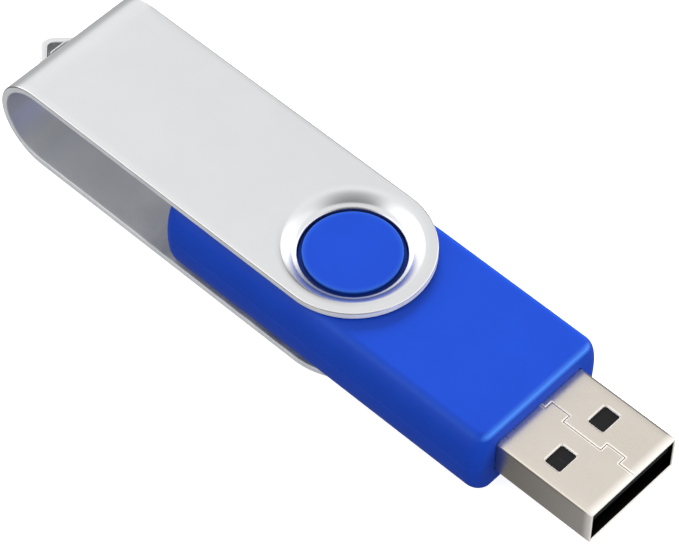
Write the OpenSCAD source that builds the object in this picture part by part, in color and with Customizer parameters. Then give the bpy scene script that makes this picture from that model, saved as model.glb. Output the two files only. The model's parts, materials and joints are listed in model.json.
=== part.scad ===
// Swivel-clip USB flash drive, shown with the clip swung back and the plug out.
// The plastic casing is two trays, each with a round stepped boss moulded on its flat face.
// A steel clip folded into a U turns on the two bosses and covers the plug when swung round.
// Origin: bottom centre of the whole drive. +X towards the plug's mouth, +Z up.

/* [Clip] */
// Width of the folded clip
clip_w = 16.4; // [16:0.1:17.2]
// Height over both plates of the clip, with the drive in it
clip_h = 10.6; // [10.4:0.1:11.4]
// Thickness of the clip's steel sheet
sheet_t = 0.8; // [0.7:0.05:0.9]
// Distance from the pivot to the outside of the bend
clip_reach = 40.6; // [40.2:0.1:44]
// Depth of the pressed dish round each pivot hole
dish_depth = 1.15; // [0.9:0.05:1.2]
// Radius where the dish starts to roll down
dish_r = 7.0; // [6.9:0.05:7.1]

/* [Lanyard loop] */
// Width of the strip pushed out of the bend
loop_w = 2.0; // [1.6:0.1:2.6]
// How far the strip stands out behind the bend
loop_out = 2.35; // [2:0.05:3]
// Half length of the strip at its foot
loop_foot = 2.95; // [2.6:0.05:3.4]

/* [Casing] */
// Width of the casing at its parting line
case_w = 17.8; // [17.4:0.1:18.6]
// Distance from the pivot to the casing's front face
case_front = 23.9; // [23.5:0.1:25]
// Distance from the pivot to the casing's rear face
case_rear = 17.2; // [17:0.1:19]
// Radius of the shallow arc that bows each side out
side_arc = 13; // [12:0.5:18]
// Radius of the soft edge between a side and the flat face
side_edge = 1.2; // [0.8:0.1:1.3]
// Radius of the casing's upright corners
corner_r = 1.8; // [1.4:0.1:2.4]
// Radius of the front and rear face edges
edge_r = 0.8; // [0.5:0.1:1]
// Wall over the flat faces
wall_t = 1.2; // [1:0.1:1.3]

/* [Pivot] */
// Radius of the round bosses that the clip turns on
boss_r = 5.28; // [5.2:0.02:5.36]
// Radial running clearance of the clip on a boss
pivot_clearance = 0.07; // [0.03:0.01:0.1]
// How far each boss stops below the clip's outer face
boss_sink = 0.95; // [0.85:0.05:1.05]
// Radius of the raised button on each boss
button_r = 4.9; // [4.7:0.05:5]

/* [USB plug] */
// Width of the plug shell
plug_w = 12.0; // [11.9:0.1:12.1]
// Height of the plug shell
plug_h = 4.5; // [4.4:0.1:4.6]
// Thickness of the plug shell's sheet
plug_t = 0.3; // [0.25:0.05:0.35]
// Length of the plug that stands out of the casing
plug_out = 11.6; // [11.4:0.1:12]
// Length of the plug held inside the casing
plug_in = 7.0; // [6.6:0.1:7.2]

/* [Circuit board] */
// Thickness of the board
board_t = 0.8; // [0.6:0.1:1]
// Width of the board
board_w = 13.4; // [13:0.1:13.6]
// Distance from the pivot to the board's rear edge
board_rear = 15.6; // [15.4:0.1:15.8]

/* [Hidden] */
$fn = 64;
eps = 0.01;
mid_z = clip_h / 2;
clip_gap = 0.1;
bend_r = clip_h / 2;
bend_x = -(clip_reach - bend_r);
button_round = 0.14;
shoulder_sink = 1.55;
hole_r = boss_r + pivot_clearance;
lip_r = 5.85;
lip_fall = dish_depth - 0.33;
roll_power = 1.3;

case_top = clip_h - sheet_t - clip_gap;
case_half_h = case_top - mid_z;
// angle at which the shallow side arc meets the soft edge
arc_end = asin((case_half_h - side_edge) / (side_arc - side_edge));
recess_r = dish_r - 0.05;
recess_floor = clip_h - dish_depth - sheet_t - clip_gap;
side_wall = 1.9;
end_wall = 1.3;
tongue_t = 0.7;
tongue_h = 0.7;
tongue_play = 0.05;

plug_tip = case_front + plug_out;
plug_tail = case_front - plug_in;
plug_round = 0.6;
plug_play = 0.05;
plug_floor = mid_z - plug_h / 2;
plug_roof = mid_z + plug_h / 2;
window_l = 1.9;
window_w = 2.5;
window_x = plug_tip - 6.3;
window_y = 3.05;
leg_l = 2.6;
seam_gap = 0.08;
seam_y = 0.1;
seam_tab_y = 1.02;
seam_tabs = [[24.45, 26.65], [31.25, 33.45]];

contact_w = 1.0;
contact_t = 0.25;
contact_tail = 14.6;
outer_contact_y = 3.5;
inner_contact_y = 1.0;
contact_ys = [-outer_contact_y, -inner_contact_y, inner_contact_y, outer_contact_y];

board_top = mid_z - 0.05;
board_front = plug_tail - 0.1;
board_neck = 4;
board_bottom = board_top - board_t;
pad_t = 0.05;
post_x = -14.3;
post_y = 5.2;
post_r = 0.95;
pin_r = 0.5;

lead_t = 0.12;
lead_w = 0.22;
lead_pitch = 0.5;
package_h = 1.0;
package_lift = 0.1;
memory_x = -3;
memory_l = 18.4;
memory_w = 12;
controller_x = 11.7;
controller_w = 7;
controller_h = 1.4;
crystal_x = -14.4;
crystal_r = 1;
crystal_l = 5.2;
regulator_x = 9.6;
regulator_y = -4.4;
regulator_l = 1.3;
regulator_w = 2.9;
surge_x = 11.2;
fuse_x = 10.8;
fuse_y = 4.4;
led_x = -14.6;

// Whole length runs from the loop's nose to the plug's tip, and the origin is at its middle.
pivot_x = (clip_reach + loop_out - plug_tip) / 2;

blue = [0.12, 0.29, 0.84];
steel = [0.86, 0.86, 0.87];
nickel = [0.82, 0.79, 0.75];
black = [0.05, 0.05, 0.06];
gold = [0.85, 0.66, 0.25];
green = [0.05, 0.35, 0.18];
tin = [0.75, 0.76, 0.78];

// ---- shared shapes ----

// Puts a piece drawn round the pivot axis into the drive's frame.
module at_pivot() {
    translate([pivot_x, 0, 0]) children();
}

// Turns an upper piece into its lower twin, about the parting plane.
module lower_twin() {
    translate([0, 0, clip_h]) mirror([0, 0, 1]) children();
}

// Box from x0 to x1, centred on y, from z0 to z1.
module block(x0, x1, w, z0, z1, y = 0) {
    translate([x0, y - w / 2, z0]) cube([x1 - x0, w, z1 - z0]);
}

// Rounded rectangle from x0 to x1, centred across.
module rounded_plate(x0, x1, w, r) {
    translate([x0 + r, -w / 2]) square([x1 - x0 - 2 * r, w]);
    translate([x0, -w / 2 + r]) square([x1 - x0, w - 2 * r]);
    for (x = [x0 + r, x1 - r], y = [-w / 2 + r, w / 2 - r])
        translate([x, y]) circle(r);
}

// Plug cross-section, drawn with y across and x as height, drawn in by inset.
module plug_section(inset) {
    h = plug_h / 2 - inset;
    w = plug_w / 2 - inset;
    r = plug_round - inset;
    square([2 * (h - r), 2 * w], center = true);
    square([2 * h, 2 * (w - r)], center = true);
    for (a = [-1, 1], b = [-1, 1])
        translate([a * (h - r), b * (w - r)]) circle(r, $fn = 32);
}

// Lays a section out along X from x0 to x1, at the plug's height.
module along_plug(x0, x1) {
    translate([x0, 0, mid_z]) rotate([0, 90, 0]) linear_extrude(x1 - x0) children();
}

// ---- casing ----

// How far the ends draw in near the flat face, at a height above the parting plane.
function end_draw(h) =
    let (d = h - (case_half_h - edge_r))
    d <= 0 ? 0 : edge_r - sqrt(max(0, edge_r * edge_r - d * d));

// Half width of the casing at height h: a shallow arc, then a tighter one up to the flat face.
function half_width(h) =
    h <= side_arc * sin(arc_end)
        ? case_w / 2 - side_arc + sqrt(side_arc * side_arc - h * h)
        : case_w / 2 - side_arc + (side_arc - side_edge) * cos(arc_end)
          + sqrt(max(0, side_edge * side_edge - pow(h - case_half_h + side_edge, 2)));

// Outside of one casing half: level slices up the two arcs, joined smoothly.
module casing_skin() {
    arc_steps = 3;
    edge_steps = 7;
    turns = concat([for (k = [0 : arc_steps - 1]) side_arc * sin(arc_end * k / arc_steps)],
                   [for (k = [0 : edge_steps])
                       case_half_h - side_edge
                       + side_edge * sin(arc_end + (90 - arc_end) * k / edge_steps)]);
    hull()
        for (h = turns) {
            draw_x = end_draw(h);
            r = max(corner_r - draw_x, 0.6);
            for (x = [-case_rear + draw_x + r, case_front - draw_x - r], s = [-1, 1])
                translate([x, s * (half_width(h) - r), mid_z + max(h - eps, 0)])
                    cylinder(r = r, h = eps, $fn = 32);
        }
}

// Hollow of one casing half.
module casing_hollow() {
    translate([0, 0, mid_z - eps])
        linear_extrude(case_top - wall_t - mid_z + eps)
            rounded_plate(-case_rear + end_wall, case_front - end_wall,
                          case_w - 2 * side_wall, 1);
}

// Ring inside the wall where the two halves lock, grown by play on its outside.
module tongue(h, play) {
    translate([0, 0, mid_z - eps])
        linear_extrude(h + eps)
            difference() {
                rounded_plate(-case_rear + end_wall - tongue_t * 0.8 - play,
                              case_front - end_wall + tongue_t * 0.8 + play,
                              case_w - 2 * side_wall + 2 * (tongue_t + play), 1.5);
                rounded_plate(-case_rear + end_wall, case_front - end_wall,
                              case_w - 2 * side_wall, 1);
            }
}

// Slot in the front face that the plug comes through.
module plug_slot() {
    block(case_front - end_wall - 2, case_front + 1, plug_w + 2 * plug_play,
          plug_floor - plug_play, plug_roof + plug_play);
}

// Stepped boss on the floor of the dish recess: a bearing shoulder, then the raised button.
module boss() {
    shoulder = clip_h - shoulder_sink;
    top = clip_h - boss_sink;
    rotate_extrude() {
        translate([0, recess_floor]) square([boss_r, shoulder - recess_floor]);
        translate([0, shoulder - eps]) square([button_r - button_round, top - shoulder + eps]);
        translate([0, shoulder - eps]) square([button_r, top - button_round - shoulder + eps]);
        translate([button_r - button_round, top - button_round])
            intersection() {
                circle(button_round);
                square(button_round);
            }
    }
}

// Everything that the upper and lower trays have in common.
module casing_tray() {
    difference() {
        union() {
            difference() {
                casing_skin();
                casing_hollow();
            }
            // thick pad that backs the recess
            translate([0, 0, recess_floor - wall_t])
                cylinder(r = recess_r + 0.6, h = wall_t + 0.3);
            // rib over the plug
            block(case_front - end_wall - 1.2, case_front - end_wall + eps,
                  case_w - 2 * side_wall + 0.4, mid_z, case_top - wall_t + 0.2);
        }
        translate([0, 0, recess_floor]) cylinder(r = recess_r, h = 3);
        plug_slot();
    }
    boss();
}

module upper_shell() {
    color(blue) at_pivot() {
        difference() {
            casing_tray();
            tongue(tongue_h + tongue_play, tongue_play);
        }
        for (s = [-1, 1])
            translate([post_x, s * post_y, board_top])
                cylinder(r = post_r, h = case_top - wall_t - board_top + 0.2);
    }
}

module lower_shell() {
    color(blue) at_pivot() {
        lower_twin() casing_tray();
        difference() {
            tongue(tongue_h, 0);
            plug_slot();
        }
        for (s = [-1, 1])
            translate([post_x, s * post_y, clip_h - case_top + wall_t - 0.2]) {
                cylinder(r = post_r,
                         h = board_bottom - (clip_h - case_top + wall_t - 0.2));
                cylinder(r = pin_r, h = board_top - (clip_h - case_top + wall_t - 0.2));
            }
    }
}

// ---- clip ----

// Plan of the clip: straight sides and a round front end about the pivot.
module clip_plan() {
    circle(clip_w / 2);
    translate([-clip_reach - 1, -clip_w / 2]) square([clip_reach + 1, clip_w]);
}

// Side view of the folded sheet, x along the clip and y as height.
module fold_profile() {
    front = clip_w / 2 + 1;
    difference() {
        union() {
            translate([bend_x, mid_z]) circle(bend_r);
            translate([bend_x, 0]) square([front - bend_x, clip_h]);
        }
        translate([bend_x, mid_z]) circle(bend_r - sheet_t);
        translate([bend_x, sheet_t]) square([front - bend_x + 1, clip_h - 2 * sheet_t]);
    }
}

// Fall of the dish's outer face below the plate, at radius r: a roll that steepens towards the lip.
function dish_fall(r) = lip_fall * pow((dish_r - r) / (dish_r - lip_r), roll_power);

// Pressed ring round one pivot hole: the sheet's own thickness carried down the roll to the lip.
module dish() {
    steps = 14;
    rings = [for (k = [0 : steps]) dish_r - (dish_r - lip_r) * k / steps];
    outer = concat([for (r = rings) [r, dish_fall(r)]], [[hole_r, dish_depth]]);
    rotate_extrude()
        polygon(concat(
            [for (p = outer) [p[0], clip_h - p[1]]],
            [for (k = [len(outer) - 1 : -1 : 0]) [outer[k][0], clip_h - sheet_t - outer[k][1]]]
        ));
}

// Nose outline of the lanyard loop in plan, drawn in by inset: straight flanks and a round tip.
module loop_outline(inset) {
    tip_r = 1.3 - inset;
    tip_x = -clip_reach - loop_out + 1.3;
    flank = 42;
    foot_x = -clip_reach + 1.2;
    foot_y = loop_foot + 1.1 - inset * 1.35;
    polygon(concat(
        [[foot_x, -foot_y]],
        [for (a = [-90 + flank : 6 : 90 - flank])
            [tip_x - tip_r * cos(a), tip_r * sin(a)]],
        [[foot_x, foot_y]]
    ));
}

module lanyard_loop() {
    translate([0, 0, mid_z - loop_w / 2])
        linear_extrude(loop_w)
            difference() {
                loop_outline(0);
                loop_outline(sheet_t * 0.85);
                translate([-clip_reach + sheet_t * 0.8, -5]) square([3, 10]);
            }
}

module swivel_clip() {
    color(steel) at_pivot() {
        difference() {
            intersection() {
                translate([0, clip_w / 2, 0]) rotate([90, 0, 0])
                    linear_extrude(clip_w) fold_profile();
                linear_extrude(clip_h) clip_plan();
            }
            translate([0, 0, -1]) cylinder(r = dish_r, h = clip_h + 2);
            // slot that the loop's strip was cut from
            block(-clip_reach - 1, -clip_reach + 2, 2 * (loop_foot - 0.7),
                  mid_z - loop_w / 2, mid_z + loop_w / 2);
        }
        dish();
        lower_twin() dish();
        lanyard_loop();
    }
}

// ---- plug ----

// Castellated seam where the ends of the rolled shell lock together.
module seam() {
    translate([0, 0, plug_roof - plug_t - 0.2])
        linear_extrude(plug_t + 1) {
            edges = concat([plug_tail - 1], [for (t = seam_tabs) each t], [plug_tip + 1]);
            for (k = [0 : len(edges) - 2]) {
                y = k % 2 == 0 ? seam_y : seam_tab_y;
                translate([edges[k], y]) square([edges[k + 1] - edges[k], seam_gap]);
            }
            for (t = seam_tabs, x = t)
                translate([x, seam_y]) square([seam_gap, seam_tab_y - seam_y + seam_gap]);
        }
}

module plug_shell() {
    color(nickel) at_pivot() {
        difference() {
            along_plug(plug_tail, plug_tip)
                difference() {
                    plug_section(0);
                    plug_section(plug_t);
                }
            for (s = [-1, 1])
                block(window_x - window_l / 2, window_x + window_l / 2, window_w,
                      plug_floor - 1, plug_roof + 1, s * window_y);
            seam();
        }
        // legs soldered to the board's neck
        for (s = [-1, 1])
            block(plug_tail - leg_l, plug_tail + eps, plug_t, board_bottom - 0.3,
                  board_top + 0.6, s * (plug_w / 2 - plug_t / 2));
    }
}

module plug_insulator() {
    w = plug_w - 2 * plug_t - 0.1;
    roof = plug_roof - plug_t;
    nose = plug_tip - 0.5;
    color(black) at_pivot()
        difference() {
            union() {
                block(plug_tail, nose, w - 0.6, mid_z, roof);
                block(plug_tail, nose, w, mid_z, roof - 0.35);
                block(plug_tail, plug_tail + 1.6, w - 0.6, plug_floor + plug_t, roof);
            }
            for (y = contact_ys)
                block(plug_tail - 1, nose - 0.9, contact_w, mid_z - eps,
                      mid_z + contact_t, y);
        }
}

// One flat contact: it lies in its groove and its tail reaches the board.
module contact(y, front) {
    color(gold) at_pivot()
        block(contact_tail, front, contact_w, mid_z, mid_z + contact_t, y);
}

module power_contact() contact(outer_contact_y, plug_tip - 1.6);
module data_minus_contact() contact(inner_contact_y, plug_tip - 2.6);
module data_plus_contact() contact(-inner_contact_y, plug_tip - 2.6);
module ground_contact() contact(-outer_contact_y, plug_tip - 1.6);

// ---- board and what it carries ----

module circuit_board() {
    color(green) at_pivot()
        translate([0, 0, board_bottom])
            linear_extrude(board_t)
                difference() {
                    translate([-board_rear, -board_w / 2])
                        square([board_rear + board_front, board_w]);
                    for (s = [-1, 1]) {
                        translate([post_x, s * post_y]) circle(pin_r + 0.05);
                        translate([board_front - board_neck, s > 0 ? plug_w / 2 - 0.5 : -plug_w])
                            square([board_neck + 1, plug_w / 2 + 0.5]);
                    }
                }
}

module contact_pads() {
    color(gold) at_pivot()
        for (y = contact_ys)
            block(contact_tail - 1, board_front - 0.3, contact_w + 0.4, board_top,
                  board_top + pad_t, y);
}

module solder_joints() {
    bead = 0.35;
    color(tin) at_pivot() {
        for (y = contact_ys)
            translate([contact_tail, y - 0.4, board_top + pad_t])
                rotate([-90, 0, 0])
                    intersection() {
                        cylinder(r = bead, h = 0.8);
                        translate([-1, -1, 0]) cube([1, 1, 0.8]);
                    }
        for (s = [-1, 1])
            block(board_front - 2.4, board_front - 0.4, 0.2, board_top - 0.5, board_top + 0.2,
                  s * (plug_w / 2 - 0.4));
    }
}

// Gull-wing leads in a row along one side: foot on the board, knee into the package.
module lead_row(count, pitch, wide, reach, rise, thick) {
    for (k = [0 : count - 1])
        translate([0, (k - (count - 1) / 2) * pitch, 0])
            translate([0, wide / 2, 0]) rotate([90, 0, 0])
                linear_extrude(wide)
                    polygon([[reach, 0], [reach, thick], [reach * 0.45, thick],
                             [reach * 0.3, rise + thick], [0, rise + thick], [0, rise],
                             [reach * 0.18, rise], [reach * 0.33, 0]]);
}

// Moulded package standing just off the board's upper face.
module upper_package(x, y, l, w) {
    block(x - l / 2, x + l / 2, w, board_top + package_lift,
          board_top + package_lift + package_h, y);
}

module memory_chip() {
    color(black) at_pivot()
        upper_package(memory_x, 0, memory_l, memory_w);
}

module memory_leads() {
    color(tin) at_pivot()
        for (s = [0, 180])
            translate([memory_x, 0, board_top]) rotate(s)
                translate([memory_l / 2, 0, 0])
                    lead_row(24, lead_pitch, lead_w, 0.8, 0.5, lead_t);
}

module controller_chip() {
    top = board_bottom - package_lift;
    color(black) at_pivot()
        block(controller_x - controller_w / 2, controller_x + controller_w / 2,
              controller_w, top - controller_h, top);
}

module controller_leads() {
    color(tin) at_pivot()
        translate([controller_x, 0, board_bottom]) mirror([0, 0, 1])
            for (a = [0 : 90 : 270])
                rotate(a) translate([controller_w / 2, 0, 0])
                    lead_row(12, lead_pitch, lead_w, 0.9, 0.7, lead_t);
}

module crystal_can() {
    color(tin) at_pivot()
        translate([crystal_x, 0, board_bottom - crystal_r]) rotate([0, 90, 0])
            cylinder(r = crystal_r, h = crystal_l);
}

module crystal_leads() {
    wire_r = 0.14;
    color(gold) at_pivot()
        for (s = [-1, 1])
            translate([crystal_x + crystal_l, s * 0.4, board_bottom - wire_r - eps])
                rotate([0, 90, 0])
                    cylinder(r = wire_r, h = 1.2, $fn = 24);
}

module regulator() {
    color(black) at_pivot()
        upper_package(regulator_x, regulator_y, regulator_l, regulator_w);
}

module regulator_leads() {
    foot = 0.5;
    wide = 0.4;
    color(tin) at_pivot()
        translate([regulator_x, regulator_y, board_top]) {
            translate([regulator_l / 2, 0, 0])
                lead_row(2, 1.9, wide, foot, 0.5, lead_t);
            rotate(180) translate([regulator_l / 2, 0, 0])
                lead_row(1, 1.9, wide, foot, 0.5, lead_t);
        }
}

// Small parts in a row along Y, all alike: centre x, list of y, size [x, y, z], floor height.
module chip_row(x, ys, size, z) {
    for (y = ys)
        block(x - size[0] / 2, x + size[0] / 2, size[1], z, z + size[2], y);
}

module surge_protector() {
    color(black) at_pivot()
        chip_row(surge_x, [0], [1.4, 2.8, 0.9], board_top);
}

module input_fuse() {
    color([0.2, 0.35, 0.2]) at_pivot()
        chip_row(fuse_x, [fuse_y], [3.2, 1.6, 0.6], board_top);
}

module status_led() {
    color("white") at_pivot()
        chip_row(led_x, [0], [0.8, 1.6, 0.6], board_top);
}

module capacitors() {
    upper_size = [0.8, 1.2, 0.8];
    lower_size = [1.6, 0.8, 0.8];
    color([0.65, 0.5, 0.35]) at_pivot() {
        chip_row(7.9, [-1.6, 0, 1.6, 5.6], upper_size, board_top);
        chip_row(-11, [-4, 4], lower_size, board_bottom - lower_size[2]);
    }
}

module resistors() {
    size = [0.8, 1.2, 0.4];
    color([0.1, 0.1, 0.1]) at_pivot() {
        chip_row(13, [-2.2, 0, 2.2], size, board_top);
        chip_row(-8.9, [-4, 4], size, board_bottom - size[2]);
    }
}

upper_shell();
lower_shell();
swivel_clip();
plug_shell();
plug_insulator();
power_contact();
data_minus_contact();
data_plus_contact();
ground_contact();
circuit_board();
contact_pads();
solder_joints();
memory_chip();
memory_leads();
controller_chip();
controller_leads();
crystal_can();
crystal_leads();
regulator();
regulator_leads();
surge_protector();
input_fuse();
status_led();
capacitors();
resistors();
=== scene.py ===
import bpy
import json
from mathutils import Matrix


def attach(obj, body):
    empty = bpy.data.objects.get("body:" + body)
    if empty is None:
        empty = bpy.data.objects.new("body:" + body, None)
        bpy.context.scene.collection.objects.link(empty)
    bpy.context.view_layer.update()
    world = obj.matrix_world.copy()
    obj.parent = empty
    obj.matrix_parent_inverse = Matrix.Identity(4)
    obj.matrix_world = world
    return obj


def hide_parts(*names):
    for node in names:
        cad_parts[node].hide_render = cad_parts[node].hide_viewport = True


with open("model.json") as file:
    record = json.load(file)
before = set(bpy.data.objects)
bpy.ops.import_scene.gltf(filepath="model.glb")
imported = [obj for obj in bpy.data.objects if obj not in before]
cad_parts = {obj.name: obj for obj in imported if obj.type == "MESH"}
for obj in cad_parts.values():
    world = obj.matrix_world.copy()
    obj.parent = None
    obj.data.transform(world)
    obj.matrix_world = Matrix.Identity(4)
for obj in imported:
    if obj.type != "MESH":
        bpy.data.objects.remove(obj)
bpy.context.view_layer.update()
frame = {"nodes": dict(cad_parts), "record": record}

import json
import math

import bmesh
import bpy
import numpy as np
from mathutils import Matrix

# ---- Casing halves ----
# Two trays of polypropylene with a soft-touch rubber paint, blue all over. Each is moulded in one shot
# with a round pivot boss in a shallow recess, and the two snap together along the parting line.
# All the lengths below are millimetres round the pivot; add_piece takes them to metres in the frame.

millimetre = 0.001
pivot_x = frame["record"]["behaviour"]["joints"][0]["pos_m"][0]
clip_height = 10.6
middle = clip_height / 2

casing_front, casing_rear, casing_half = 23.9, 17.2, 8.9
tray_depth = 4.4
flat_half, side_power, end_edge, plan_corner = 7.06, 2.15, 0.8, 1.5
slot_half, slot_height, slot_corner = 6.05, 2.3, 0.4
button_radius, shoulder_radius, recess_radius = 4.9, 5.28, 6.95
button_top, button_round = 4.35, 0.14
shoulder_top, recess_floor = 3.75, 3.25
parting_chamfer = 0.06
soft_blue = (0.0036, 0.044, 0.390, 1)


def add_piece(name, patches, body, nodes, finish, crisp=32.0, wear_and_light=None):
    """Joins grids of points into one closed mesh and puts it in the frame.

    A patch is (points, wraps, keep): points is rows x columns x 3, wraps says that the last column
    meets the first, and keep masks the cells that are solid. wear_and_light is a function of the points:
    up to 1 for rubbing and painted highlights, down to -1 for painted shade and darkened grooves.
    """
    corners, cells, start = [], [], 0
    for points, wraps, keep in patches:
        rows, columns = points.shape[:2]
        index = start + np.arange(rows * columns).reshape(rows, columns)
        if wraps:
            index = np.hstack([index, index[:, :1]])
        quads = np.stack([index[:-1, :-1], index[:-1, 1:], index[1:, 1:], index[1:, :-1]], axis=-1)
        cells.append((quads if keep is None else quads[keep]).reshape(-1, 4))
        corners.append(points.reshape(-1, 3))
        start += rows * columns
    corners, cells = np.vstack(corners), np.vstack(cells)
    _, first, merged = np.unique(np.round(corners, 4), axis=0, return_index=True, return_inverse=True)
    corners, cells = corners[first], merged.reshape(-1)[cells]
    cells = [list(dict.fromkeys(cell)) for cell in cells.tolist()]
    mesh = bpy.data.meshes.new(name)
    mesh.from_pydata(corners * millimetre + [pivot_x, 0, 0], [], [c for c in cells if len(c) > 2])
    work = bmesh.new()
    work.from_mesh(mesh)
    bmesh.ops.recalc_face_normals(work, faces=work.faces)
    work.to_mesh(mesh)
    work.free()
    mesh.polygons.foreach_set("use_smooth", np.ones(len(mesh.polygons), bool))
    mesh.set_sharp_from_angle(angle=math.radians(crisp))
    wear_light_values = np.zeros(len(corners)) if wear_and_light is None else np.clip(wear_and_light(corners), -1, 1)
    mesh.attributes.new("wear_and_light", "FLOAT", "POINT").data.foreach_set("value", wear_light_values.astype(np.float32))
    mesh.materials.append(finish)
    piece = bpy.data.objects.new(name, mesh)
    bpy.context.collection.objects.link(piece)
    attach(piece, body)
    if nodes:
        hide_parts(*nodes)
    return piece


class Wired:
    """A node's output, on which ordinary arithmetic adds the Math nodes."""

    def __init__(self, finish, socket):
        self.finish, self.socket = finish, socket

    def math(self, operation, *terms, clamp=False):
        return self.finish.add("ShaderNodeMath", {"operation": operation, "use_clamp": clamp},
                               dict(enumerate(terms)))

    def __add__(self, other):
        return self.math("ADD", self, other)

    def __sub__(self, other):
        return self.math("SUBTRACT", self, other)

    def __rsub__(self, other):
        return self.math("SUBTRACT", other, self)

    def __mul__(self, other):
        return self.math("MULTIPLY", self, other)

    __radd__, __rmul__ = __add__, __mul__

    def over(self, low, high):
        """0 at low and 1 at high, straight between and held outside."""
        return self.finish.add("ShaderNodeMapRange", {"clamp": True},
                               {"Value": self, "From Min": low, "From Max": high})


class Finish:
    """A node tree under construction: add makes any node and hands back one output, wired."""

    def __init__(self, name, tree=None):
        self.material = None
        if tree is None:
            self.material = bpy.data.materials.new(name)
            self.material.use_nodes = True
            tree = self.material.node_tree
        self.tree = tree
        tree.nodes.clear()

    def add(self, kind, settings=None, sockets=None, out=0):
        node = self.tree.nodes.new(kind)
        for setting, value in (settings or {}).items():
            setattr(node, setting, value)
        for socket, value in (sockets or {}).items():
            if isinstance(value, Wired):
                self.tree.links.new(value.socket, node.inputs[socket])
            else:
                node.inputs[socket].default_value = value
        return Wired(self, node.outputs[out])

    def place(self, scale=(1, 1, 1)):
        """The piece's own coordinates in metres, stretched by scale."""
        own = self.add("ShaderNodeTexCoord", out="Object")
        return self.add("ShaderNodeMapping", sockets={"Vector": own, "Scale": scale})

    def noise(self, where, scale, detail=3.0, roughness=0.55):
        return self.add("ShaderNodeTexNoise", sockets={
            "Vector": where, "Scale": scale, "Detail": detail, "Roughness": roughness})

    def tint(self, share, low, high, blend="MIX"):
        """Colour from low to high as share goes from 0 to 1."""
        return self.add("ShaderNodeMix", {"data_type": "RGBA", "blend_type": blend}, {
            0: share, 6: low, 7: high}, out=2)

    def marks(self, sign=1):
        """The rubbing and painted highlight on the points, or the painted shade and darkened grooves where
        sign is -1.
        """
        painted = self.add("ShaderNodeAttribute", {"attribute_name": "wear_and_light"}, out="Fac")
        return painted.math("MULTIPLY", painted, float(sign), clamp=True)

    def relief(self, height, depth, strength=1.0):
        return self.add("ShaderNodeBump", sockets={
            "Height": height, "Distance": depth, "Strength": strength})

    def shade(self, colour, roughness, normal=None, metal=0.0, **uniform):
        """Ends the tree in a Principled shader, with the uniform values set on its own sockets."""
        sockets = {"Base Color": colour, "Roughness": roughness, "Metallic": metal}
        if normal is not None:
            sockets["Normal"] = normal
        sockets.update({key.replace("_", " "): value for key, value in uniform.items()})
        self.end("ShaderNodeOutputMaterial", self.add("ShaderNodeBsdfPrincipled", sockets=sockets))
        return self.material

    def end(self, kind, surface):
        """Puts the tree's output node after surface."""
        self.tree.links.new(surface.socket, self.tree.nodes.new(kind).inputs["Surface"])


def soft_touch_plastic():
    """Blue rubber paint: a fine orange-peel grain, faint clouding, edges brightened by rubbing and a painted
    highlight, and painted shade in the pivot recess.
    """
    paint = Finish("soft_touch_blue")
    where = paint.place()
    grain = paint.noise(where, 9000.0, 2.0)
    cloud = paint.noise(where, 210.0, 4.0)
    speck = paint.noise(where, 2600.0, 1.0).over(0.66, 0.78)
    wear_light_values = paint.marks()
    blue = paint.tint(cloud.over(0.3, 0.7), (0.0032, 0.040, 0.368, 1), soft_blue)
    blue = paint.tint(speck * 0.12, blue, (0.013, 0.08, 0.55, 1))
    # painted highlight, partly rubbing: lighter blue along the front and rear top edges and the button's rim
    blue = paint.tint(wear_light_values * (0.7 + 0.3 * grain), blue, (0.060, 0.230, 0.76, 1))
    # painted shade: the pivot recess darkened towards navy
    blue = paint.tint(paint.marks(-1) * 0.8, blue, (0.001, 0.012, 0.10, 1))
    rough = 0.50 + 0.08 * cloud - 0.10 * wear_light_values + 0.04 * grain
    skin = paint.relief(grain * 0.7 + cloud * 0.6, 0.000006, 0.5)
    return paint.shade(blue, rough, skin, Specular_IOR_Level=0.2)


def half_width(height):
    """Half width at a height over the parting line: a superellipse that curls over to the flat."""
    rise = np.clip(np.asarray(height, float) / tray_depth, 0, 1)
    return flat_half + (casing_half - flat_half) * (1 - rise ** side_power) ** (1 / side_power)


def end_draw(height):
    """How far the front and rear faces draw in: a quarter circle at the top edge."""
    rise = np.clip(height - tray_depth + end_edge, 0, end_edge)
    return end_edge - np.sqrt(end_edge ** 2 - rise ** 2)


def corner_walk(corner, turn, along, front, rear, half, radius):
    """Plan of a rounded box: the point at angle turn on a corner, moved along to the next corner."""
    side_x, side_y = np.array([1, 1, -1, -1]), np.array([-1, 1, 1, -1])

    def on(corner):
        across = np.where(side_x[corner] > 0, front - radius, -rear + radius)
        return (across + radius * np.cos(turn), side_y[corner] * (half - radius) + radius * np.sin(turn))

    (x0, y0), (x1, y1) = on(corner), on((corner + 1) % 4)
    return (1 - along) * x0 + along * x1, (1 - along) * y0 + along * y1


def slot_edge():
    """Walk across the front face at the parting line, up round the plug's slot and down again."""
    turn = np.radians(np.linspace(90, 0, 8)[1:])
    side = [[y, 0.0] for y in np.linspace(-casing_half + plan_corner, -slot_half, 5)]
    side += [[-slot_half, h] for h in np.linspace(0, slot_height - slot_corner, 5)[1:]]
    side += [[-slot_half + slot_corner * (1 - math.sin(t)), slot_height - slot_corner * (1 - math.cos(t))]
             for t in turn]
    side = np.array(side)
    flat = np.stack([np.linspace(-slot_half + slot_corner, slot_half - slot_corner, 22)[1:-1],
                     np.full(20, slot_height)], axis=1)
    return np.vstack([side, flat, side[::-1] * [-1, 1]])


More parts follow.
